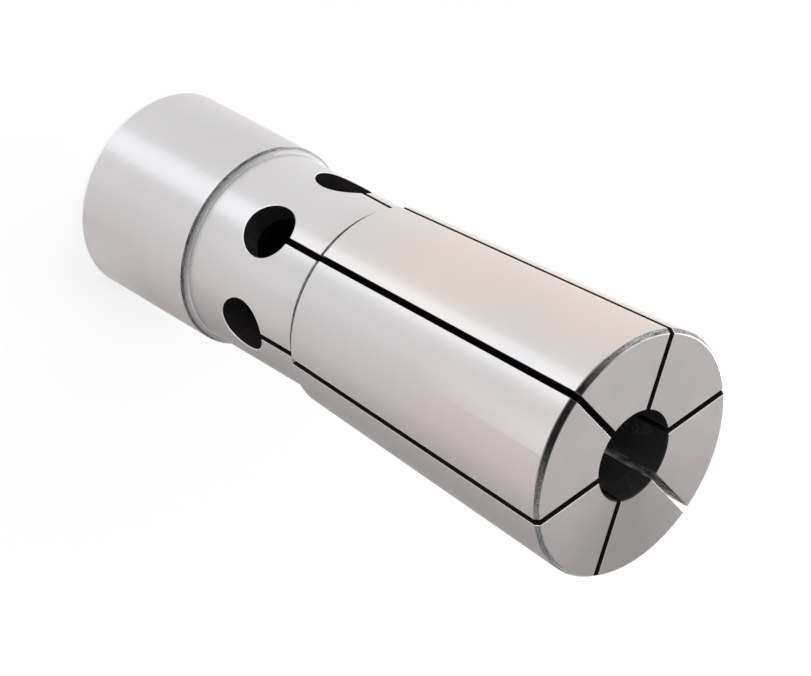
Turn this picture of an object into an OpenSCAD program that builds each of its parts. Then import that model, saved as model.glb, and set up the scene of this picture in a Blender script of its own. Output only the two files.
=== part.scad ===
// Slotted spring collet, pulled back by a screw in its rear thread.
// Origin at the centre of the rear face, +Z along the axis to the nose, all sizes in mm.

/* [Nose taper] */
// Largest diameter, at the rear edge of the nose chamfer
nose_d = 22; // [21.6:0.1:24]
// Length of the nose chamfer along the axis
nose_chamfer_len = 0.45; // [0.2:0.05:1]
// Height of the nose chamfer across the radius
nose_chamfer_h = 0.3; // [0.15:0.05:0.8]
// Length of the tapered front section, chamfer included
front_len = 31.3; // [28:0.1:34]
// Diameter that the taper loses per mm of length, 0.1 is one in ten
taper = 0.1; // [0.06:0.01:0.12]
// Bevel that breaks the taper's small end at the neck
taper_break = 0.1; // [0.05:0.05:0.3]

/* [Neck] */
// Outside diameter of the neck
neck_d = 17.8; // [17:0.1:18.2]
// Length of the neck, from the head's front edge to the taper
neck_len = 14.4; // [12:0.1:20]
// Radius of the fillet at the foot of the head's shoulder
neck_fillet = 0.35; // [0.1:0.05:0.4]

/* [Head] */
// Outside diameter of the rear head
head_d = 19; // [18.8:0.1:20]
// Length of the head, front chamfer included
head_len = 14.3; // [13:0.1:20]
// Bevel on the head's front edge
head_front_chamfer = 0.25; // [0.1:0.05:0.3]
// Bevel on the head's rear edge
head_rear_chamfer = 0.2; // [0.1:0.05:0.8]

/* [Bores] */
// Diameter of the clamping bore, the size of the shank it holds
bore_d = 8; // [4:0.5:12]
// Length of the clamping bore, from the nose face
bore_len = 30; // [26:0.5:36]
// Bevel at the mouth of the clamping bore
bore_break = 0.1; // [0.05:0.05:0.5]
// Diameter of the wide bore behind the clamping bore
relief_d = 13; // [12.4:0.1:13.4]
// Major diameter of the rear thread
thread_d = 14; // [13.8:0.1:15]
// Length of the rear thread, from the rear face
thread_len = 12; // [8:0.5:13]
// Bevel at the mouth of the rear thread
thread_chamfer = 0.6; // [0.2:0.1:1]

/* [Slots and relief holes] */
// How many slots the taper is cut by, with a relief hole at the end of each
slot_count = 6; // [3:1:8]
// Width of each slot
slot_w = 0.6; // [0.3:0.05:1.2]
// Diameter of each relief hole
hole_d = 5.1; // [3:0.1:5.4]
// Distance from the taper's small end back to the holes' centres
hole_setback = 7.2; // [5:0.1:8]

/* [Hidden] */
// Facets that stand for a full circle
round_fn = 96;
// Overlap that makes a cut run clear of the faces it opens
over = 1;
steel = [0.76, 0.76, 0.77];

// Where the sections meet along the axis
neck_z = head_len;
step_z = neck_z + neck_len;
nose_z = step_z + front_len;
bore_z = nose_z - bore_len;
hole_z = step_z - hole_setback;

// Radii of the outside
nose_r = nose_d / 2;
face_r = nose_r - nose_chamfer_h;
step_r = nose_r - taper * (front_len - nose_chamfer_len) / 2;
neck_r = neck_d / 2;
head_r = head_d / 2;
// The fillet takes no more of the shoulder than the head's bevel leaves
fillet_r = min(neck_fillet, head_r - head_front_chamfer - neck_r);

// Radii of the inside, each joined to the next by a 45 degree shoulder
bore_r = bore_d / 2;
relief_r = relief_d / 2;
thread_r = thread_d / 2;
bore_shoulder = relief_r - bore_r;
thread_shoulder = thread_r - relief_r;

// Half section of the turned outside, from the rear face up
module outside_section() {
    polygon([
        [0, 0],
        [head_r - head_rear_chamfer, 0],
        [head_r, head_rear_chamfer],
        [head_r, neck_z - head_front_chamfer],
        [head_r - head_front_chamfer, neck_z],
        [neck_r, neck_z],
        [neck_r, step_z],
        [step_r - taper_break, step_z],
        [step_r, step_z + taper_break],
        [nose_r, nose_z - nose_chamfer_len],
        [face_r, nose_z],
        [0, nose_z]
    ]);
    neck_fillet_section();
}

// Concave corner that the tool leaves between the neck and the head's shoulder
module neck_fillet_section() {
    translate([neck_r, neck_z])
        difference() {
            translate([-fillet_r, -fillet_r])
                square(2 * fillet_r);
            translate([fillet_r, fillet_r])
                circle(r = fillet_r, $fn = round_fn);
        }
}

// Half section of the bored inside, run past both end faces
module inside_section() {
    polygon([
        [0, -over],
        [thread_r + thread_chamfer + over, -over],
        [thread_r, thread_chamfer],
        [thread_r, thread_len],
        [relief_r, thread_len + thread_shoulder],
        [relief_r, bore_z - bore_shoulder],
        [bore_r, bore_z],
        [bore_r, nose_z - bore_break],
        [bore_r + bore_break + over, nose_z + over],
        [0, nose_z + over]
    ]);
}

// One slot from the axis out, open at the nose, with the hole that ends it
module slot_cut() {
    translate([0, -slot_w / 2, hole_z])
        cube([nose_d, slot_w, nose_z - hole_z + over]);
    translate([0, 0, hole_z])
        rotate([0, 90, 0])
            cylinder(d = hole_d, h = nose_d, $fn = round_fn);
}

module collet() {
    color(steel)
        difference() {
            rotate_extrude($fn = round_fn)
                outside_section();
            rotate_extrude($fn = round_fn)
                inside_section();
            for (i = [0 : slot_count - 1])
                rotate([0, 0, i * 360 / slot_count])
                    slot_cut();
        }
}

collet();
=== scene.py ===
"""The ground steel spring collet, standing on its head under soft studio light."""
import math

import bpy
from bpy.props import FloatProperty, FloatVectorProperty, IntProperty, PointerProperty
from mathutils import Matrix, Vector

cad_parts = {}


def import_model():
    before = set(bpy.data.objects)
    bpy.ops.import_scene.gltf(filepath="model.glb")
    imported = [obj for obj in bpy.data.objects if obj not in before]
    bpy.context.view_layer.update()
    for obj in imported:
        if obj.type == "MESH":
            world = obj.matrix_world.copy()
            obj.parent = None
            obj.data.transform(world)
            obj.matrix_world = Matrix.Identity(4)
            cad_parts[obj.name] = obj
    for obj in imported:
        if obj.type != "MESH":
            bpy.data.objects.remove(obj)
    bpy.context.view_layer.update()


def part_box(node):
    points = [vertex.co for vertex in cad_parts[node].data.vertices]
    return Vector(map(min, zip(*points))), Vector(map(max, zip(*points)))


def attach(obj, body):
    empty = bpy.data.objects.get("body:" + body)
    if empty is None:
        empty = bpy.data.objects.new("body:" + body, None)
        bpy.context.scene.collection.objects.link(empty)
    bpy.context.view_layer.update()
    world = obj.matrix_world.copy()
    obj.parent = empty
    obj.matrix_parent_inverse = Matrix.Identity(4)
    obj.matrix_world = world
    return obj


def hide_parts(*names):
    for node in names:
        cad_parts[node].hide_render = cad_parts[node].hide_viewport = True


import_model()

CAD_LOW, CAD_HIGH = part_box("collet")

bl_info = {
    "name": "Spring Collet",
    "version": (1, 0, 0),
    "blender": (4, 5, 0),
    "location": "3D View > Sidebar > Collet",
    "description": "Models a slotted draw-back spring collet and its studio",
    "category": "Object",
}

# The collet is modelled in millimetres and brought to metres at the end.
METRE = 0.001
MM = 1.0 / METRE

# Where the head, the neck and the nose end above the rear face, for the finishes, in millimetres.
HEAD_END, NECK_END, NOSE_END = 14.3, 28.7, 60.0

BLACK = (0.0, 0.0, 0.0)
WHITE = (1.0, 1.0, 1.0)

# A rise that makes an edge between two azimuths about one degree wide.
SHARP = 60.0


# ---------------------------------------------------------------- settings
class ColletSizes(bpy.types.PropertyGroup):
    """Sizes of the collet"""

    length: FloatProperty(
        name="Length", description="From the rear face to the nose face",
        default=CAD_HIGH.z - CAD_LOW.z, min=0.04, max=0.09, subtype="DISTANCE", unit="LENGTH")
    nose_across: FloatProperty(
        name="Nose", description="Largest diameter, behind the nose chamfer",
        default=0.022, min=0.02, max=0.026, subtype="DISTANCE", unit="LENGTH")
    nose_chamfer_length: FloatProperty(
        name="Nose chamfer length", description="Length of the nose chamfer along the axis",
        default=0.00045, min=0.0001, max=0.001, subtype="DISTANCE", unit="LENGTH")
    nose_chamfer_height: FloatProperty(
        name="Nose chamfer height", description="Height of the nose chamfer across the radius",
        default=0.0003, min=0.0001, max=0.001, subtype="DISTANCE", unit="LENGTH")
    front_length: FloatProperty(
        name="Taper length", description="Length of the tapered front section",
        default=0.0313, min=0.02, max=0.04, subtype="DISTANCE", unit="LENGTH")
    taper: FloatProperty(
        name="Taper", description="Diameter lost for each unit of length",
        default=0.1, min=0.05, max=0.12, subtype="FACTOR")
    neck_across: FloatProperty(
        name="Neck", description="Outside diameter of the neck",
        default=0.0178, min=0.016, max=0.0184, subtype="DISTANCE", unit="LENGTH")
    head_across: FloatProperty(
        name="Head", description="Outside diameter of the rear head",
        default=0.019, min=0.0185, max=0.022, subtype="DISTANCE", unit="LENGTH")
    head_length: FloatProperty(
        name="Head length", description="Length of the head with its front bevel",
        default=0.0143, min=0.01, max=0.02, subtype="DISTANCE", unit="LENGTH")
    bore: FloatProperty(
        name="Bore", description="Diameter of the shank that the collet clamps",
        default=0.008, min=0.003, max=0.012, subtype="DISTANCE", unit="LENGTH")
    bore_length: FloatProperty(
        name="Bore length", description="Length of the clamping bore from the nose face",
        default=0.03, min=0.02, max=0.04, subtype="DISTANCE", unit="LENGTH")
    relief_bore: FloatProperty(
        name="Relief bore", description="Diameter of the wide bore behind the clamping bore",
        default=0.013, min=0.012, max=0.0135, subtype="DISTANCE", unit="LENGTH")
    thread_across: FloatProperty(
        name="Thread", description="Major diameter of the rear thread",
        default=0.014, min=0.0137, max=0.015, subtype="DISTANCE", unit="LENGTH")
    thread_pitch: FloatProperty(
        name="Pitch", description="Distance from one thread turn to the next",
        default=0.0015, min=0.0005, max=0.002, subtype="DISTANCE", unit="LENGTH")
    thread_length: FloatProperty(
        name="Thread length", description="Length of the threaded bore with its undercut",
        default=0.012, min=0.008, max=0.013, subtype="DISTANCE", unit="LENGTH")
    slots: IntProperty(
        name="Slots", description="Number of slots, each with a relief hole at its end",
        default=6, min=3, max=8)
    slot_width: FloatProperty(
        name="Slot width", description="Width of each slot",
        default=0.0006, min=0.0003, max=0.0012, subtype="DISTANCE", unit="LENGTH")
    hole_across: FloatProperty(
        name="Relief hole", description="Diameter of each relief hole",
        default=0.0051, min=0.003, max=0.0055, subtype="DISTANCE", unit="LENGTH")
    hole_setback: FloatProperty(
        name="Hole setback", description="From the taper's small end back to the holes' centres",
        default=0.0072, min=0.004, max=0.01, subtype="DISTANCE", unit="LENGTH")
    edge_break: FloatProperty(
        name="Edge break", description="Bevel that the deburring leaves along slots and holes",
        default=0.00004, min=0.00002, max=0.0002, subtype="DISTANCE", unit="LENGTH")


class ColletFinish(bpy.types.PropertyGroup):
    """Colours and polish of the collet"""

    neck_colour: FloatVectorProperty(
        name="Ground steel", description="Colour of the ground neck and head",
        default=(0.697, 0.682, 0.692), size=3, min=0.0, max=1.0, subtype="COLOR")
    # Straw tint: patches on the faces, painted light on the taper's light side, a painted reflection in one slot.
    straw_tint_and_light_colour: FloatVectorProperty(
        name="Straw taper", description="Colour of the ground taper where the heat of grinding left it straw",
        default=(0.745, 0.673, 0.627), size=3, min=0.0, max=1.0, subtype="COLOR")
    # Painted shade: a rose tint, darker than the ground steel, for the steel's shaded side.
    rose_shade_colour: FloatVectorProperty(
        name="Rose steel", description="Colour of the ground steel on its shaded side",
        default=(0.615, 0.551, 0.553), size=3, min=0.0, max=1.0, subtype="COLOR")
    ground_roughness: FloatProperty(
        name="Ground roughness", description="How far the grinding lines spread a reflection",
        default=0.45, min=0.05, max=1.0, subtype="FACTOR")
    face_colour: FloatVectorProperty(
        name="Faced steel", description="Colour of the nose and rear faces",
        default=(0.640, 0.592, 0.592), size=3, min=0.0, max=1.0, subtype="COLOR")
    turned_colour: FloatVectorProperty(
        name="Turned steel", description="Colour of the chamfers and the step, which hardening left dark",
        default=(0.083, 0.080, 0.080), size=3, min=0.0, max=1.0, subtype="COLOR")
    sawn_colour: FloatVectorProperty(
        name="Sawn steel", description="Colour of the slot walls",
        default=(0.018, 0.015, 0.015), size=3, min=0.0, max=1.0, subtype="COLOR")
    bore_colour: FloatVectorProperty(
        name="Bored steel", description="Colour of the clamping bore",
        default=(0.100, 0.094, 0.096), size=3, min=0.0, max=1.0, subtype="COLOR")
    black_colour: FloatVectorProperty(
        name="Black steel", description="Colour of the relief bore, the thread and the holes",
        default=(0.026, 0.023, 0.026), size=3, min=0.0, max=1.0, subtype="COLOR")


class StudioSettings(bpy.types.PropertyGroup):
    """Light and floor round the collet"""

    room_low: FloatProperty(
        name="Side light", description="Brightness of the room low down on its light side",
        default=3.0, min=0.0, max=8.0, subtype="FACTOR")
    room_high: FloatProperty(
        name="Top light", description="Brightness of the room high up on its light side",
        default=1.3, min=0.0, max=8.0, subtype="FACTOR")
    room_mirrored: FloatProperty(
        name="Mirrored room", description="How bright the steel sees the room at most, where 1 is white",
        default=1.5, min=0.0, max=8.0, subtype="FACTOR")
    room_azimuth: FloatProperty(
        name="Light side", description="Which side of the collet the brighter half of the room is on",
        default=math.radians(-35.0), subtype="ANGLE", unit="ROTATION")
    rim_level: FloatProperty(
        name="Rim light", description="Brightness of the soft box behind the collet, where 1 is white",
        default=8.5, min=0.0, max=20.0, subtype="FACTOR")
    strip_level: FloatProperty(
        name="Strip light", description="Brightness of the narrow strip light, where 1 is white",
        default=3.0, min=0.0, max=20.0, subtype="FACTOR")
    floor_glow: FloatProperty(
        name="Floor glow", description="Share of plain white in what the camera and the steel see of the floor",
        default=0.6, min=0.0, max=1.0, subtype="FACTOR")
    floor_colour: FloatVectorProperty(
        name="Floor", description="Colour of the floor",
        default=(0.95, 0.95, 0.95), size=3, min=0.0, max=1.0, subtype="COLOR")


# ---------------------------------------------------------------- finishes
class Socket:
    """An output of one of a finish's nodes; sums written on it add Math nodes."""

    def __init__(self, finish, link):
        self.finish = finish
        self.link = link

    def maths(self, operation, first, second=None, clamp=False):
        """Adds a Math node for one or two values; clamp holds the result between 0 and 1."""
        values = {0: first} if second is None else {0: first, 1: second}
        return self.finish.node("ShaderNodeMath", {"operation": operation, "use_clamp": clamp}, values)

    def __add__(self, other):
        return self.maths("ADD", self, other)

    def __radd__(self, other):
        return self.maths("ADD", other, self)

    def __sub__(self, other):
        return self.maths("SUBTRACT", self, other)

    def __rsub__(self, other):
        return self.maths("SUBTRACT", other, self)

    def __mul__(self, other):
        return self.maths("MULTIPLY", self, other)

    def __rmul__(self, other):
        return self.maths("MULTIPLY", other, self)

    def __truediv__(self, other):
        return self.maths("DIVIDE", self, other)

    def __rtruediv__(self, other):
        return self.maths("DIVIDE", other, self)

    def __pow__(self, other):
        return self.maths("POWER", self, other)

    def kept(self):
        """The value held between 0 and 1."""
        return self.maths("ADD", self, 0.0, clamp=True)


class Nodes:
    """The nodes of one finish or of the room."""

    def __init__(self, tree, shader):
        self.tree = tree
        self.shader = tree.nodes[shader]

    def set(self, **shader_values):
        """Gives the shader's sockets their values or links; an underscore stands for a space."""
        for name, value in shader_values.items():
            self.plug(self.shader.inputs[name.replace("_", " ")], value)

    def plug(self, socket, value):
        """Gives one socket a value, or a link from a node."""
        if isinstance(value, Socket):
            self.tree.links.new(value.link, socket)
        else:
            socket.default_value = value

    def node(self, kind, settings=None, values=None, output=0):
        """Adds a node of one type: its settings first, then the values or links of its sockets."""
        made = self.tree.nodes.new(kind)
        for name, value in (settings or {}).items():
            if name == "stops":
                while len(made.color_ramp.elements) < len(value):
                    made.color_ramp.elements.new(0.5)
                for stop, (place, level) in zip(made.color_ramp.elements, value):
                    stop.position = place
                    stop.color = (level, level, level, 1)
            else:
                setattr(made, name, value)
        for name, value in (values or {}).items():
            self.plug(made.inputs[name], value)
        return Socket(self, made.outputs[output])

    def dot(self, vector, way):
        """How far a vector goes along a way."""
        return self.node("ShaderNodeVectorMath", {"operation": "DOT_PRODUCT"}, {0: vector, 1: way},
                         output="Value")

    def place(self):
        """Where a point of the collet is, in millimetres."""
        at = self.node("ShaderNodeTexCoord", output="Object")
        return self.node("ShaderNodeVectorMath", {"operation": "SCALE"}, {0: at, "Scale": MM})

    def parts(self, vector):
        """The x, y and z of a vector."""
        split = self.tree.nodes.new("ShaderNodeSeparateXYZ")
        self.plug(split.inputs[0], vector)
        return [Socket(self, split.outputs[i]) for i in range(3)]

    def vector(self, x, y, z):
        """A vector from its three parts."""
        return self.node("ShaderNodeCombineXYZ", None, {0: x, 1: y, 2: z})

    def noise(self, vector, scale, detail=2.0, roughness=0.5):
        """Clouds of values about 0.5; a larger scale makes them finer."""
        return self.node("ShaderNodeTexNoise", None,
                         {"Vector": vector, "Scale": scale, "Detail": detail, "Roughness": roughness},
                         output="Fac")

    def ramp(self, value, *stops):
        """Levels of grey by value."""
        return self.node("ShaderNodeValToRGB", {"stops": stops}, {"Fac": value})

    def blend(self, share, first, second):
        """From the first colour to the second as share goes from 0 to 1."""
        colours = [c if isinstance(c, Socket) else (*c, 1.0) for c in (first, second)]
        return self.node("ShaderNodeMix", {"data_type": "RGBA"},
                         {0: share, 6: colours[0], 7: colours[1]}, output=2)

    def bump(self, height, depth):
        """A normal that follows a height from 0 to 1, depth millimetres high."""
        return self.node("ShaderNodeBump", None, {"Height": height, "Strength": 1.0, "Distance": depth * METRE})


class Finish(Nodes):
    """One material of the collet or the studio."""

    def __init__(self, name, **shader_values):
        self.material = bpy.data.materials.new(name)
        self.material.use_nodes = True
        super().__init__(self.material.node_tree, "Principled BSDF")
        self.set(**shader_values)

    def glow(self, share):
        """Mixes plain white into what the camera, glossy and transmission rays see; lights nothing."""
        rays = [self.node("ShaderNodeLightPath", output=f"Is {kind} Ray")
                for kind in ("Camera", "Glossy", "Transmission")]
        seen = (rays[0] + rays[1] + rays[2]).kept() * share
        white = self.node("ShaderNodeEmission", None, {"Color": (1, 1, 1, 1), "Strength": 1.0})
        paint = Socket(self, self.shader.outputs["BSDF"])
        both = self.node("ShaderNodeMixShader", None, {0: seen, 1: paint, 2: white})
        self.tree.links.new(both.link, self.tree.nodes["Material Output"].inputs["Surface"])


def shade(colour, share):
    """A colour made darker or lighter by a share."""
    return tuple(min(c * share, 1.0) for c in colour)


def around_lines(finish, fine, long_way):
    """Lines that run round the axis: fine of them to the millimetre, each about 1/long_way long."""
    x, y, z = finish.parts(finish.place())
    return finish.noise(finish.vector(x * long_way, y * long_way, z * fine), 1.0, detail=3.0, roughness=0.6)


def from_axis(x, y):
    """How far a point is from the axis."""
    return (x * x + y * y) ** 0.5


def towards(x, y, azimuth):
    """1 on the side of the axis that faces an azimuth, down to -1 on the other side."""
    turn = math.radians(azimuth)
    return (x * math.cos(turn) + y * math.sin(turn)) / from_axis(x, y)


def facing(x, y, azimuth, start, rise):
    """0 where towards is less than start, then up to 1 at a rate."""
    return ((towards(x, y, azimuth) - start) * rise).kept()


def past(length, start, rise):
    """0 up to a height or radius, then up to 1, so much for each millimetre."""
    return ((length - start) * rise).kept()


def before(length, end, rise):
    """0 from a height or radius on, and up to 1 before it, so much for each millimetre."""
    return ((end - length) * rise).kept()


def ground_finish(look):
    """The cylindrically ground outside: lines round the axis, faint clouds, tints, and painted light and shade.

    The taper has a straw tint with painted light on its light side, and the steel a rose tint with painted
    shade on its shaded side. A painted sheen and a painted highlight run along the body in sharp lines.
    """
    finish = Finish("ground_steel", Metallic=1.0, Anisotropic=1.0, Anisotropic_Rotation=0.25)
    lines = around_lines(finish, 9.0, 0.05)
    at = finish.place()
    clouds = finish.noise(at, 0.14, detail=2.0)
    x, y, z = finish.parts(at)
    past_head = past(z, HEAD_END - 0.2, rise=10.0)
    past_neck = past(z, NECK_END, rise=5.0)

    # Painted shade with a rose tint on the shaded side, a little lighter high on the taper.
    far = past(z, 34.0, rise=0.07) * ((towards(x, y, 45.0) - 0.7) * 4.0 + (clouds - 0.5) * 2.0).kept()
    rose = facing(x, y, 65.0, start=0.7, rise=3.6)
    # A straw tint with painted light on the taper's light side, more of it towards the nose.
    straw = ((z - 24.0) * 0.08 + (clouds - 0.5) * 1.2).kept()
    straw = straw * ((towards(x, y, -40.0) - 0.76) * 5.0 + (clouds - 0.5) * 2.0).kept()
    steel = finish.blend(far, look.neck_colour, shade(look.rose_shade_colour, 1.18))
    steel = finish.blend(rose, steel, look.rose_shade_colour)
    steel = finish.blend(straw, steel, look.straw_tint_and_light_colour)

    # Painted light: a sheen on the shaded side, a highlight along the body, low on head and neck, the rear end.
    painted_sheen_wedge = (towards(x, y, -61.0) * SHARP).kept() * (towards(x, y, 103.0) * 7.0).kept()
    painted_sheen_wedge = painted_sheen_wedge * (past(z, 44.0, rise=0.07) + (1.0 - past_neck) * past(z, 17.0, rise=0.1) * 0.3)
    painted_highlight_band = ((towards(x, y, 79.5) - past_neck * 0.026) * SHARP).kept() * (towards(x, y, -84.5) * SHARP).kept()
    painted_light_low_side = facing(x, y, 48.0, start=0.85, rise=8.0) * (1.0 - past_neck)
    painted_light_rear_end = before(z, 9.0, rise=0.14) * facing(x, y, 92.0, start=0.7, rise=2.6)
    steel = finish.blend(painted_sheen_wedge * 0.28 + painted_highlight_band * 0.07 + painted_light_low_side * 0.11 + painted_light_rear_end * 0.6, steel, WHITE)

    # Painted shade: at the head's shoulder, low on neck and taper, the head's light side, the edge at the
    # chamfer.
    painted_shade_foot = past(z, HEAD_END, rise=10.0) * before(z, HEAD_END + 0.8, rise=2.2)
    shaded = past_head * facing(x, y, 88.0, start=0.72, rise=4.0)
    head = (1.0 - past_head) * facing(x, y, -52.0, start=0.76, rise=5.0)
    painted_shade_lip = past(z, NOSE_END - 0.58, rise=20.0) * facing(x, y, 9.0, start=0.82, rise=6.0)
    steel = finish.blend(painted_shade_foot * 0.24 + shaded * 0.17 + head * 0.07 + painted_shade_lip * 0.85, steel, BLACK)

    level = (lines - 0.5) * 0.10 + (clouds - 0.5) * 0.10 + 0.5
    finish.set(
        Base_Color=finish.node("ShaderNodeMix", {"data_type": "RGBA", "blend_type": "SOFT_LIGHT"},
                               {0: 1.0, 6: steel, 7: finish.ramp(level, (0.0, 0.0), (1.0, 1.0))}, output=2),
        Roughness=(lines - 0.5) * 0.05 + look.ground_roughness,
        Normal=finish.bump(lines, 0.0006))
    return finish.material


def faced_finish(look):
    """The nose and rear faces: an even fine-ground face with faint rings, and painted shade towards two sides."""
    finish = Finish("faced_steel", Metallic=1.0)
    at = finish.place()
    x, y, z = finish.parts(at)
    radius = from_axis(x, y)
    rings = finish.noise(finish.vector(x * 0.1, y * 0.1, radius * 7.0), 1.0, detail=3.0)
    clouds = finish.noise(at, 0.35, detail=3.0)
    grain = finish.noise(at, 9.0, detail=2.0)
    level = ((rings - 0.5) * 0.35 + (clouds - 0.5) * 0.8 + (grain - 0.5) * 0.25 + 0.5).kept()
    steel = finish.blend(level, shade(look.face_colour, 0.92), shade(look.face_colour, 1.08))
    warm = ((finish.noise(at, 0.13, detail=3.0) - 0.45) * 3.0).kept()
    steel = finish.blend(warm * 0.35, steel, shade(look.straw_tint_and_light_colour, 0.83))
    # Painted shade: darker towards two sides, and at the rim beside the chamfer on one side.
    shaded = (towards(x, y, 138.0) * 0.5 + 0.5) ** 4
    far = (towards(x, y, -85.0) * 0.5 + 0.5) ** 4
    rim = past(radius, 10.57, rise=14.0) * facing(x, y, 9.0, start=0.82, rise=6.0)
    finish.set(
        Base_Color=finish.blend(shaded * 0.32 + far * 0.08 + rim * 0.7, steel, BLACK),
        Roughness=(clouds - 0.5) * 0.1 + 0.42,
        Normal=finish.bump(rings + grain, 0.0006))
    return finish.material


def turned_finish(look):
    """The chamfers, the head's front bevel and the step: turned and never ground, dark with bright marks."""
    finish = Finish("turned_steel", Metallic=1.0)
    at = finish.place()
    x, y, z = finish.parts(at)
    across = z - 0.4 * from_axis(x, y)
    marks = finish.noise(finish.vector(x * 0.8, y * 0.8, across * 11.0), 1.0, detail=4.0, roughness=0.7)
    grain = finish.noise(at, 10.0, detail=2.0)
    # Painted shade: towards azimuth 9 degrees the turned steel goes down to near black, most at the nose.
    nose = past(z, 35.0, rise=0.05)
    side = ((towards(x, y, 9.0) - 0.4 - nose * 0.24) * 3.0).kept()
    level = (marks - 0.5) * 2.4 + (grain - 0.5) * 2.4 + 0.66
    level = (level - nose * 0.1 - (1.0 - nose) * side * 0.3).kept()
    scale = side * (nose * 0.5 + 0.47)
    steel = finish.blend(level, shade(look.turned_colour, 0.6), shade(look.turned_colour, 5.2))
    finish.set(
        Base_Color=finish.blend(scale, steel, (0.003, 0.003, 0.003)),
        Roughness=0.40 - level * 0.12,
        Normal=finish.bump(marks + grain, 0.006))
    return finish.material


def shouldered_finish(look):
    """The head's rear bevel, shoulder and fillet, which the wheel doesn't reach: half dark in painted shade on
    one side.
    """
    finish = Finish("shouldered_steel", Metallic=1.0)
    at = finish.place()
    x, y, z = finish.parts(at)
    marks = finish.noise(finish.vector(x * 0.6, y * 0.6, z * 9.0), 1.0, detail=3.0)
    grain = finish.noise(at, 6.0, detail=2.0)
    level = ((marks - 0.5) * 1.2 + (grain - 0.5) * 1.2 + 0.5).kept()
    # Painted shade: darker by up to 42 % on the side towards azimuth 8 degrees.
    scale = facing(x, y, 8.0, start=0.5, rise=2.4)
    steel = finish.blend(level, shade(look.neck_colour, 0.66), shade(look.neck_colour, 0.94))
    finish.set(
        Base_Color=finish.blend(scale * 0.42, steel, BLACK),
        Roughness=0.66 - level * 0.08,
        Normal=finish.bump(marks, 0.003))
    return finish.material


def burnished_finish(look):
    """The edges that deburring has rubbed bright."""
    finish = Finish("burnished_edge", Metallic=1.0)
    at = finish.place()
    x, y, z = finish.parts(at)
    rub = finish.noise(at, 1.4, detail=2.0)
    # Painted shade: near the nose, the edges go nearly black on the side towards azimuth 10 degrees.
    scale = facing(x, y, 10.0, start=0.75, rise=6.0) * past(z, 35.0, rise=0.05)
    steel = finish.blend(rub, shade(look.neck_colour, 0.8), shade(look.neck_colour, 1.3))
    finish.set(
        Base_Color=finish.blend(scale * 0.9, steel, BLACK),
        Roughness=rub * 0.2 + 0.3)
    return finish.material


def sawn_finish(look):
    """The slot walls: arcs of a slitting saw, dark from hardening, and a painted reflection in one slot near the
    nose.
    """
    finish = Finish("sawn_steel", Specular_IOR_Level=0.0)
    at = finish.place()
    x, y, z = finish.parts(at)
    radius = from_axis(x, y)
    saw_radius = 30.0
    saw_centre = saw_radius + 1.5
    inward = saw_centre - radius
    arc = z - (saw_radius * saw_radius - inward * inward) ** 0.5
    strokes = finish.noise(finish.vector(arc * 0.9, radius * 6.0, 0.0), 1.0, detail=1.0, roughness=0.5)
    bands = finish.noise(finish.vector(arc * 0.3, radius * 2.2, y * 0.3), 1.0, detail=2.0, roughness=0.7)
    level = ((strokes - 0.5) * 9.0 + (bands - 0.5) * 4.0 + 0.5).kept()
    # Painted reflection: the walls of the slot towards azimuth 180 are lighter and metallic near the nose.
    painted_reflection = facing(x, y, 180.0, start=0.9, rise=12.0) * past(z, 46.0, rise=0.2)
    steel = finish.blend(painted_reflection, look.sawn_colour, shade(look.straw_tint_and_light_colour, 0.5))
    finish.set(
        Base_Color=finish.blend(level, shade(look.sawn_colour, 0.4), steel),
        Metallic=level * painted_reflection * past(radius, 2.2, rise=0.14),
        Roughness=0.42 - level * 0.12,
        Normal=finish.bump(strokes + bands * 2.0, 0.03))
    return finish.material


def bored_finish(look):
    """The clamping bore: dark, most at its mouth, with faint honing lines and smears."""
    finish = Finish("bored_steel", Metallic=0.6, Specular_IOR_Level=0.0)
    lines = around_lines(finish, 6.0, 0.2)
    at = finish.place()
    x, y, z = finish.parts(at)
    mouth = past(z, 54.0, rise=0.17)
    smears = ((finish.noise(at, 0.45, detail=3.0) - 0.54) * 7.0).kept()
    dashes = ((finish.noise(at, 3.5, detail=3.0) - 0.5) * 5.0).kept()
    level = ((lines - 0.5) * 0.3 + 0.3 + smears * dashes).kept()
    steel = finish.blend(level, shade(look.bore_colour, 0.3), shade(look.bore_colour, 1.8))
    finish.set(
        Base_Color=finish.blend(mouth * 0.66, steel, BLACK),
        Roughness=0.5 - level * 0.08,
        Normal=finish.bump(lines + smears * dashes, 0.001))
    return finish.material


def black_finish(look):
    """The relief bore, the thread and the holes: black from hardening, a little uneven."""
    finish = Finish("black_steel", Metallic=0.2, Specular_IOR_Level=0.0)
    lines = around_lines(finish, 4.0, 0.3)
    at = finish.place()
    x, y, z = finish.parts(at)
    smears = finish.noise(at, 0.9, detail=3.0)
    level = ((lines - 0.5) * 1.2 + (smears - 0.5) * 1.4 + 0.5).kept()
    steel = finish.blend(level, shade(look.black_colour, 0.6), shade(look.black_colour, 1.3))
    # Painted shade: out past the relief bore, on the hole walls and in the thread's roots, the black goes darker.
    drilled = past(from_axis(x, y), 6.51, rise=40.0)
    finish.set(
        Base_Color=finish.blend(drilled * 0.45, steel, BLACK),
        Roughness=0.75 - level * 0.1,
        Normal=finish.bump(lines, 0.003))
    return finish.material


FINISHES = {
    "ground": ground_finish, "faced": faced_finish, "turned": turned_finish, "shouldered": shouldered_finish,
    "burnished": burnished_finish, "sawn": sawn_finish, "bored": bored_finish, "black": black_finish}


# ---------------------------------------------------------------- modelling helpers
# How close points are merged on a wire, after a spin and after a cut, in millimetres.
WIRE_GAP, SPIN_GAP, CUT_GAP = 1e-6, 1e-5, 0.0004

# How many straight sides stand for a turned circle, a drilled circle and a turn of the thread.
TURNED_SIDES, DRILLED_SIDES, THREAD_SIDES = 360, 120, 90


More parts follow.
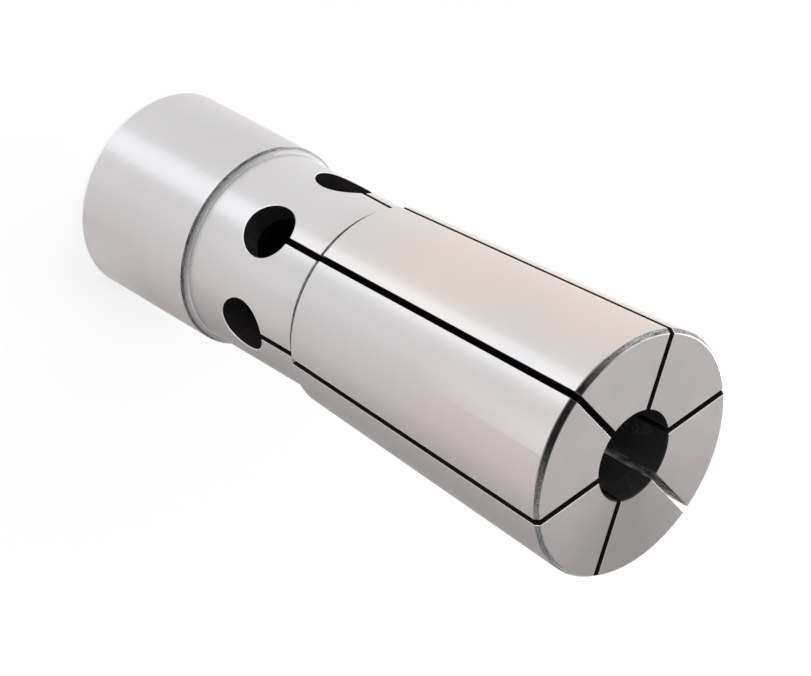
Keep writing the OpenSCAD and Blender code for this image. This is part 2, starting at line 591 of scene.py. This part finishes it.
def deselect_everything():
    """Leaves nothing selected, so that an operator acts on the new piece alone."""
    if bpy.context.object and bpy.context.object.mode != "OBJECT":
        bpy.ops.object.mode_set(mode="OBJECT")
    bpy.ops.object.select_all(action="DESELECT")


def pick(*pieces):
    """Selects these pieces alone and makes the first of them the active one."""
    deselect_everything()
    for piece in pieces:
        piece.select_set(True)
    bpy.context.view_layer.objects.active = pieces[0]


def new_piece(name):
    """Names the primitive that was just added."""
    piece = bpy.context.object
    piece.name = name
    piece.data.name = name
    return piece


def wire(name, points):
    """An open wire through points of (radius, height), drawn from one corner of a plane by extruding."""
    deselect_everything()
    bpy.ops.mesh.primitive_plane_add(size=1.0, location=(0, 0, 0))
    piece = new_piece(name)
    bpy.ops.object.mode_set(mode="EDIT")
    bpy.ops.mesh.merge(type="CENTER")
    bpy.ops.transform.translate(value=(points[0][0], 0, points[0][1]))
    for (r0, z0), (r1, z1) in zip(points, points[1:]):
        bpy.ops.mesh.extrude_vertices_move(TRANSFORM_OT_translate={"value": (r1 - r0, 0, z1 - z0)})
    bpy.ops.object.mode_set(mode="OBJECT")
    return piece


def merge_all(gap):
    """Merges points of the piece in edit mode that are closer than the gap."""
    bpy.ops.mesh.select_all(action="SELECT")
    bpy.ops.mesh.remove_doubles(threshold=gap)


def close_up():
    """Turns all faces of the piece in edit mode outwards, and leaves edit mode."""
    bpy.ops.mesh.select_all(action="SELECT")
    bpy.ops.mesh.normals_make_consistent(inside=False)
    bpy.ops.object.mode_set(mode="OBJECT")


def eased(stretches, corners):
    """The closed outline of (radius, height, finish of what follows), with each named corner cut back.

    corners gives the size of the cut and its finish by the corner's radius and height. No cut takes more
    than 45 % of the stretch beside it.
    """
    out = []
    for i, (r, z, finish) in enumerate(stretches):
        if (r, z) not in corners:
            out.append((r, z, finish))
            continue
        ease, edge_finish = corners[r, z]
        here = Vector((r, z))
        ends = []
        for other in (stretches[i - 1], stretches[(i + 1) % len(stretches)]):
            way = Vector(other[:2]) - here
            ends.append(here + way.normalized() * min(ease, way.length * 0.45))
        out.append((*ends[0], edge_finish))
        out.append((*ends[1], finish))
    return out


def lathe(name, stretches, finishes):
    """Spins a closed outline round the axis into a closed ring, and gives each stretch its finish."""
    outline = [(r, z) for r, z, _ in stretches]
    piece = wire(name, outline + [outline[0]])
    bpy.ops.object.mode_set(mode="EDIT")
    merge_all(WIRE_GAP)
    bpy.ops.mesh.select_all(action="SELECT")
    bpy.ops.mesh.spin(steps=TURNED_SIDES, dupli=False, angle=math.tau, center=(0, 0, 0), axis=(0, 0, 1))
    merge_all(SPIN_GAP)
    close_up()
    names = list(finishes)
    for finish in finishes.values():
        piece.data.materials.append(finish)
    middles = [((Vector(a[:2]) + Vector(b[:2])) / 2, a[2])
               for a, b in zip(stretches, stretches[1:] + stretches[:1])]
    flat = math.cos(math.pi / TURNED_SIDES)
    for face in piece.data.polygons:
        here = Vector((math.hypot(face.center.x, face.center.y) / flat, face.center.z))
        face.material_index = names.index(min(middles, key=lambda m: (m[0] - here).length_squared)[1])
    return piece


def lay_between(piece, start, end):
    """Turns a piece that stands upright about the origin, and moves it to run from start to end."""
    turn = Vector((0, 0, 1)).rotation_difference(end - start).to_matrix().to_4x4()
    piece.data.transform(Matrix.Translation((start + end) / 2) @ turn)


def bar(name, start, end, width, depth=None):
    """A bar from start to end in the plane of X and Z.

    Without a depth it is square and stands on its edge, with the width from edge to edge.
    """
    start, end = Vector(start), Vector(end)
    deselect_everything()
    bpy.ops.mesh.primitive_cube_add(size=1.0, location=(0, 0, 0))
    piece = new_piece(name)
    bpy.ops.object.mode_set(mode="EDIT")
    bpy.ops.mesh.select_all(action="SELECT")
    if depth is None:
        bpy.ops.transform.rotate(value=math.pi / 4, orient_axis="Z", center_override=(0, 0, 0))
        width = depth = width / math.sqrt(2.0)
    bpy.ops.transform.resize(value=(depth, width, (end - start).length))
    bpy.ops.object.mode_set(mode="OBJECT")
    lay_between(piece, start, end)
    return piece


def round_bar(name, start, end, across):
    """A round bar from start to end."""
    start, end = Vector(start), Vector(end)
    deselect_everything()
    bpy.ops.mesh.primitive_cylinder_add(
        vertices=DRILLED_SIDES, radius=across / 2, depth=(end - start).length, location=(0, 0, 0))
    piece = new_piece(name)
    lay_between(piece, start, end)
    return piece


def around(piece, count):
    """Copies a cutter round the axis and joins the copies into one."""
    copies = [piece]
    for i in range(1, count):
        twin = piece.copy()
        twin.data = piece.data.copy()
        bpy.context.collection.objects.link(twin)
        twin.data.transform(Matrix.Rotation(math.tau * i / count, 4, "Z"))
        copies.append(twin)
    return joined(copies)


def joined(pieces):
    """One object from several."""
    pick(*pieces)
    if len(pieces) > 1:
        bpy.ops.object.join()
    return pieces[0]


def cut(piece, tool, finish):
    """Takes the tool out of the piece, leaves its walls with a finish and throws the tool away."""
    tool.data.materials.clear()
    tool.data.materials.append(finish)
    pick(piece)
    step = piece.modifiers.new("cut", "BOOLEAN")
    step.operation = "DIFFERENCE"
    step.solver = "EXACT"
    step.material_mode = "TRANSFER"
    step.object = tool
    bpy.ops.object.modifier_apply(modifier=step.name)
    bpy.data.meshes.remove(tool.data)
    bpy.ops.object.mode_set(mode="EDIT")
    merge_all(CUT_GAP)
    bpy.ops.mesh.select_all(action="SELECT")
    bpy.ops.mesh.dissolve_degenerate(threshold=CUT_GAP)
    bpy.ops.object.mode_set(mode="OBJECT")


def report_mesh(piece, words):
    """Prints how far the modelling has come."""
    uses = {}
    for face in piece.data.polygons:
        for edge in face.edge_keys:
            uses[edge] = uses.get(edge, 0) + 1
    open_edges = sum(1 for count in uses.values() if count != 2)
    print(f"{words}: {len(piece.data.vertices)} vertices, {len(piece.data.polygons)} faces, "
          f"{open_edges} open edges")


# ---------------------------------------------------------------- the collet, in millimetres
# How far the nose face stays inside the CAD's box.
BOX_MARGIN = 1e-4

# Depth of the thread as a share of its pitch.
THREAD_DEPTH = 0.54

# Bevels at the thread's mouth, the rear edge, the head's front edge, and the step and the bore's mouth.
MOUTH_BEVEL, REAR_BEVEL, FRONT_BEVEL, SMALL_BEVEL = 0.6, 0.2, 0.25, 0.1

# The fillet at the head's shoulder, and into how many stretches it is split.
FILLET, FILLET_STRETCHES = 0.35, 8

# The relief on the neck at the step: its length, its depth and half the length of the slope into it.
RELIEF_LENGTH, RELIEF_DEPTH, RELIEF_SLOPE = 0.61, 0.05, 0.08

# Length of the undercut at the thread's end.
UNDERCUT = 1.4

# How far edges are rubbed off, on most edges and round the nose face.
RUBBED, RUBBED_NOSE = 0.03, 0.05


def outline_of(sizes):
    """The turned and bored section as (radius, height, finish), and its stations by name."""
    nose_r = min(sizes.nose_across * MM / 2, CAD_HIGH.y * MM)
    nose_z = sizes.length * MM - BOX_MARGIN
    step_z = nose_z - sizes.front_length * MM
    chamfer_z = nose_z - sizes.nose_chamfer_length * MM
    step_r = nose_r - sizes.taper * (chamfer_z - step_z) / 2
    face_r = nose_r - sizes.nose_chamfer_height * MM
    neck_r = sizes.neck_across * MM / 2
    head_r = sizes.head_across * MM / 2
    head_z = sizes.head_length * MM
    bore_r = sizes.bore * MM / 2
    bore_z = nose_z - sizes.bore_length * MM
    relief_r = sizes.relief_bore * MM / 2
    thread_r = sizes.thread_across * MM / 2
    thread_z = sizes.thread_length * MM
    crest_r = thread_r - THREAD_DEPTH * sizes.thread_pitch * MM
    stations = dict(
        nose_r=nose_r, nose_z=nose_z, step_r=step_r, step_z=step_z, chamfer_z=chamfer_z, face_r=face_r,
        neck_r=neck_r, bore_r=bore_r, thread_r=thread_r, thread_z=thread_z, crest_r=crest_r,
        hole_z=step_z - sizes.hole_setback * MM)

    shoulder = []
    for i in range(1, FILLET_STRETCHES + 1):
        turn = math.pi / 2 * i / FILLET_STRETCHES
        shoulder.append((neck_r + FILLET - FILLET * math.sin(turn), head_z + FILLET - FILLET * math.cos(turn),
                         "shouldered" if i < FILLET_STRETCHES else "ground"))
    relief_z = step_z - RELIEF_LENGTH
    stretches = [
        (thread_r + MOUTH_BEVEL, 0.0, "faced"),
        (head_r - REAR_BEVEL, 0.0, "shouldered"),
        (head_r, REAR_BEVEL, "ground"),
        (head_r, head_z - FRONT_BEVEL, "turned"),
        (head_r - FRONT_BEVEL, head_z, "shouldered"),
        *shoulder,
        (neck_r, relief_z - RELIEF_SLOPE, "turned"),
        (neck_r - RELIEF_DEPTH, relief_z + RELIEF_SLOPE, "turned"),
        (neck_r - RELIEF_DEPTH, step_z, "turned"),
        (step_r - SMALL_BEVEL, step_z, "turned"),
        (step_r, step_z + SMALL_BEVEL, "ground"),
        (nose_r, chamfer_z, "turned"),
        (face_r, nose_z, "faced"),
        (bore_r + SMALL_BEVEL, nose_z, "bored"),
        (bore_r, nose_z - SMALL_BEVEL, "bored"),
        (bore_r, bore_z, "black"),
        (relief_r, bore_z - (relief_r - bore_r), "black"),
        (relief_r, thread_z + (thread_r - relief_r), "black"),
        (thread_r, thread_z, "black"),
        (thread_r, thread_z - UNDERCUT, "black"),
        (crest_r, thread_z - UNDERCUT - (thread_r - crest_r), "black"),
        (crest_r, MOUTH_BEVEL + thread_r - crest_r, "black"),
    ]
    corners = {
        (head_r - REAR_BEVEL, 0.0): (RUBBED, "burnished"),
        (head_r, REAR_BEVEL): (RUBBED, "burnished"),
        (head_r, head_z - FRONT_BEVEL): (RUBBED, "ground"),
        (head_r - FRONT_BEVEL, head_z): (RUBBED, "shouldered"),
        (step_r, step_z + SMALL_BEVEL): (RUBBED, "ground"),
        (nose_r, chamfer_z): (RUBBED, "ground"),
        (face_r, nose_z): (RUBBED_NOSE, "burnished"),
        (thread_r + MOUTH_BEVEL, 0.0): (RUBBED, "burnished")}
    return eased(stretches, corners), stations


def thread_cutter(at, pitch):
    """A helix of the thread's groove, run out past the rear face and into the undercut.

    The groove is an eighth of the pitch wide at its root, and each flank leans 30 degrees.
    """
    inside_crest, short_of_end = 0.12, 1.1
    root = at["thread_r"]
    crest = at["crest_r"] - inside_crest
    half_out = pitch / 16
    half_in = half_out + (root - crest) * math.tan(math.radians(30))
    start = -1.5 * pitch
    turns = math.ceil((at["thread_z"] - short_of_end - start) / pitch)
    tool = wire("thread_cutter", [
        (root, start - half_out), (root, start + half_out), (crest, start + half_in), (crest, start - half_in),
        (root, start - half_out)])
    pick(tool)
    bpy.ops.object.mode_set(mode="EDIT")
    merge_all(WIRE_GAP)
    bpy.ops.object.mode_set(mode="OBJECT")
    winding = tool.modifiers.new("winding", "SCREW")
    winding.axis = "Z"
    winding.angle = math.tau
    winding.screw_offset = pitch
    winding.iterations = turns
    winding.steps = winding.render_steps = THREAD_SIDES
    winding.use_merge_vertices = False
    bpy.ops.object.modifier_apply(modifier=winding.name)
    bpy.ops.object.mode_set(mode="EDIT")
    bpy.ops.mesh.select_all(action="DESELECT")
    bpy.ops.mesh.select_mode(type="EDGE")
    bpy.ops.mesh.select_non_manifold()
    bpy.ops.mesh.edge_face_add()
    close_up()
    return tool


def hole_rim_cutter(at, across, ease):
    """A four-sided ring that follows a relief hole's edge over the neck's curve."""
    deselect_everything()
    bpy.ops.mesh.primitive_torus_add(
        major_radius=across / 2, minor_radius=ease, major_segments=DRILLED_SIDES, minor_segments=4,
        location=(0, 0, 0))
    tool = new_piece("hole_rim_cutter")
    tool.data.transform(Matrix.Rotation(math.pi / 2, 4, "Y"))
    for corner in tool.data.vertices:
        drop = at["neck_r"] - math.sqrt(at["neck_r"] ** 2 - corner.co.y ** 2)
        corner.co.x += at["neck_r"] - drop
        corner.co.z += at["hole_z"]
    return tool


class COLLET_OT_make_body(bpy.types.Operator):
    """Turns, bores, drills, slots, threads and finishes the collet"""

    bl_idname = "collet.make_body"
    bl_label = "Make Collet"
    bl_options = {"REGISTER", "UNDO"}

    def execute(self, context):
        sizes = context.scene.collet_sizes
        look = context.scene.collet_finish
        finishes = {name: make(look) for name, make in FINISHES.items()}
        outline, at = outline_of(sizes)
        body = lathe("spring_collet", outline, finishes)
        report_mesh(body, "turned")

        # A slot's cutter reaches from 1 mm off the axis to 2 mm outside the nose, and a relief hole's
        # starts inside the relief bore.
        slot_width = sizes.slot_width * MM
        hole_across = sizes.hole_across * MM
        middle, past_nose, hole_start = at["nose_r"] / 2 + 1.5, 1.0, 5.2
        slot = bar("slot", (middle, 0, at["hole_z"]), (middle, 0, at["nose_z"] + past_nose),
                   slot_width, at["nose_r"] + 1.0)
        cut(body, around(slot, sizes.slots), finishes["sawn"])
        hole = round_bar("relief_hole", (hole_start, 0, at["hole_z"]), (at["nose_r"], 0, at["hole_z"]),
                         hole_across)
        cut(body, around(hole, sizes.slots), finishes["black"])
        report_mesh(body, "slotted and drilled")

        # Square bars on their edges, laid along the slots' mouths, run a little past the corners.
        ease = sizes.edge_break * MM
        along = Vector((at["nose_r"] - at["step_r"], 0, at["chamfer_z"] - at["step_z"])).normalized()
        across = Vector((at["face_r"] - at["nose_r"], 0, at["nose_z"] - at["chamfer_z"])).normalized()
        step_corner = Vector((at["step_r"], 0, at["step_z"]))
        nose_corner = Vector((at["nose_r"], 0, at["chamfer_z"]))
        face_corner = Vector((at["face_r"], 0, at["nose_z"]))
        edges = {
            "taper_edge": (step_corner - along * 0.5, nose_corner + along * 0.3),
            "chamfer_edge": (nose_corner - across * 0.2, face_corner + across * 0.2),
            "face_edge": ((at["bore_r"] - 0.3, 0, at["nose_z"]), (at["face_r"] + 0.3, 0, at["nose_z"])),
            "neck_edge": ((at["neck_r"], 0, at["hole_z"]), (at["neck_r"], 0, at["step_z"] - 0.02))}
        for name, (start, end) in edges.items():
            edge = bar(name, start, end, slot_width + 2 * ease)
            cut(body, around(edge, sizes.slots), finishes["faced"])
        report_mesh(body, "slot edges broken")
        rim = hole_rim_cutter(at, hole_across, 1.5 * ease)
        cut(body, around(rim, sizes.slots), finishes["burnished"])
        report_mesh(body, "hole rims broken")
        cut(body, thread_cutter(at, sizes.thread_pitch * MM), finishes["black"])
        report_mesh(body, "threaded")

        body.data.transform(Matrix.Scale(METRE, 4))
        pick(body)
        bpy.ops.object.shade_smooth_by_angle(angle=math.radians(10))

        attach(body, "root")
        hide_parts("collet")
        return {"FINISHED"}


# ---------------------------------------------------------------- the studio
# The camera as it was fitted to the photograph: its place and axes in the CAD's frame, and its lens.
CAMERA_PLACE = (0.21471, 0.03582, 0.20714)
CAMERA_RIGHT = (-0.455757, -0.574642, 0.679759)
CAMERA_UP = (0.443780, -0.808695, -0.386099)
CAMERA_BACK = (0.771586, 0.125697, 0.623583)
CAMERA_LENS = 144.16

# The collet's middle, which the lamps face, and their cool white.
MIDDLE = (0, 0, 0.03)
LAMP_COLOUR = (0.91, 0.97, 1.0)


def from_angles(azimuth, elevation):
    """The direction from the collet to a place in the room, by degrees."""
    az, el = math.radians(azimuth), math.radians(elevation)
    return Vector((math.cos(az) * math.cos(el), math.sin(az) * math.cos(el), math.sin(el)))


def soft_box(name, azimuth, elevation, distance, width, height, level):
    """A rectangular lamp that faces the collet; level is how bright its face is, where 1 is white."""
    data = bpy.data.lights.new(name, "AREA")
    data.shape = "RECTANGLE"
    data.size = width
    data.size_y = height
    data.energy = level * math.pi * width * height
    data.color = LAMP_COLOUR
    lamp = bpy.data.objects.new(name, data)
    bpy.context.scene.collection.objects.link(lamp)
    way = from_angles(azimuth, elevation)
    lamp.location = Vector(MIDDLE) + way * distance
    lamp.rotation_euler = way.to_track_quat("Z", "Y").to_euler()
    lamp.visible_camera = False


class COLLET_OT_make_studio(bpy.types.Operator):
    """Adds the floor, the soft light and the camera"""

    bl_idname = "collet.make_studio"
    bl_label = "Make Studio"
    bl_options = {"REGISTER", "UNDO"}

    def execute(self, context):
        scene = context.scene
        studio = scene.collet_studio
        deselect_everything()
        bpy.ops.mesh.primitive_circle_add(vertices=96, radius=4.0, fill_type="NGON", location=(0, 0, 0))
        floor = new_piece("floor")
        paint = Finish(
            "floor_paint", Base_Color=(*studio.floor_colour, 1), Roughness=1.0, Specular_IOR_Level=0.0)
        paint.glow(studio.floor_glow)
        floor.data.materials.append(paint.material)

        # The room is brighter on one side and low down; the steel mirrors it up to a limit.
        room = bpy.data.worlds.new("room")
        room.use_nodes = True
        scene.world = room
        light = Nodes(room.node_tree, "Background")
        way = light.node("ShaderNodeTexCoord", output="Generated")
        up = light.parts(way)[2]
        bright_side = (math.cos(studio.room_azimuth), math.sin(studio.room_azimuth), 0.0)
        side = (light.dot(way, bright_side) * 0.5 + 0.5) ** 0.75
        low = (1.0 - up) * (1.0 - up)
        level = side * (low * studio.room_low + studio.room_high)
        seen = light.node("ShaderNodeMath", {"operation": "MINIMUM"}, {0: level, 1: studio.room_mirrored})
        mirrored = light.node("ShaderNodeLightPath", output="Is Glossy Ray")
        light.set(Color=(1, 1, 1, 1), Strength=level * (1.0 - mirrored) + seen * mirrored)

        soft_box("strip", azimuth=-10.0, elevation=9.0, distance=0.6, width=0.26, height=0.19,
                 level=studio.strip_level)
        soft_box("rim", azimuth=-147.0, elevation=9.0, distance=0.6, width=0.33, height=0.19,
                 level=studio.rim_level)

        view = bpy.data.cameras.new("camera")
        view.lens = CAMERA_LENS
        view.sensor_width = 36.0
        view.clip_start = 0.01
        view.clip_end = 20.0
        camera = bpy.data.objects.new("camera", view)
        scene.collection.objects.link(camera)
        turn = Matrix((CAMERA_RIGHT, CAMERA_UP, CAMERA_BACK)).transposed().to_4x4()
        camera.matrix_world = Matrix.Translation(CAMERA_PLACE) @ turn
        scene.camera = camera
        scene.view_settings.view_transform = "Standard"
        return {"FINISHED"}


class COLLET_PT_panel(bpy.types.Panel):
    """Lists the collet's operators and settings"""

    bl_idname = "COLLET_PT_panel"
    bl_label = "Collet"
    bl_space_type = "VIEW_3D"
    bl_region_type = "UI"
    bl_category = "Collet"

    def draw(self, context):
        column = self.layout.column()
        column.operator(COLLET_OT_make_body.bl_idname)
        column.operator(COLLET_OT_make_studio.bl_idname)
        for group in (context.scene.collet_sizes, context.scene.collet_finish, context.scene.collet_studio):
            box = self.layout.box()
            for name in group.__annotations__:
                box.prop(group, name)


CLASSES = (ColletSizes, ColletFinish, StudioSettings, COLLET_OT_make_body, COLLET_OT_make_studio, COLLET_PT_panel)


def register():
    for each in CLASSES:
        bpy.utils.register_class(each)
    bpy.types.Scene.collet_sizes = PointerProperty(type=ColletSizes)
    bpy.types.Scene.collet_finish = PointerProperty(type=ColletFinish)
    bpy.types.Scene.collet_studio = PointerProperty(type=StudioSettings)


def unregister():
    del bpy.types.Scene.collet_studio
    del bpy.types.Scene.collet_finish
    del bpy.types.Scene.collet_sizes
    for each in reversed(CLASSES):
        bpy.utils.unregister_class(each)


def main():
    """Makes the collet and its studio."""
    register()
    bpy.ops.collet.make_body()
    bpy.ops.collet.make_studio()


if __name__ == "__main__":
    main()
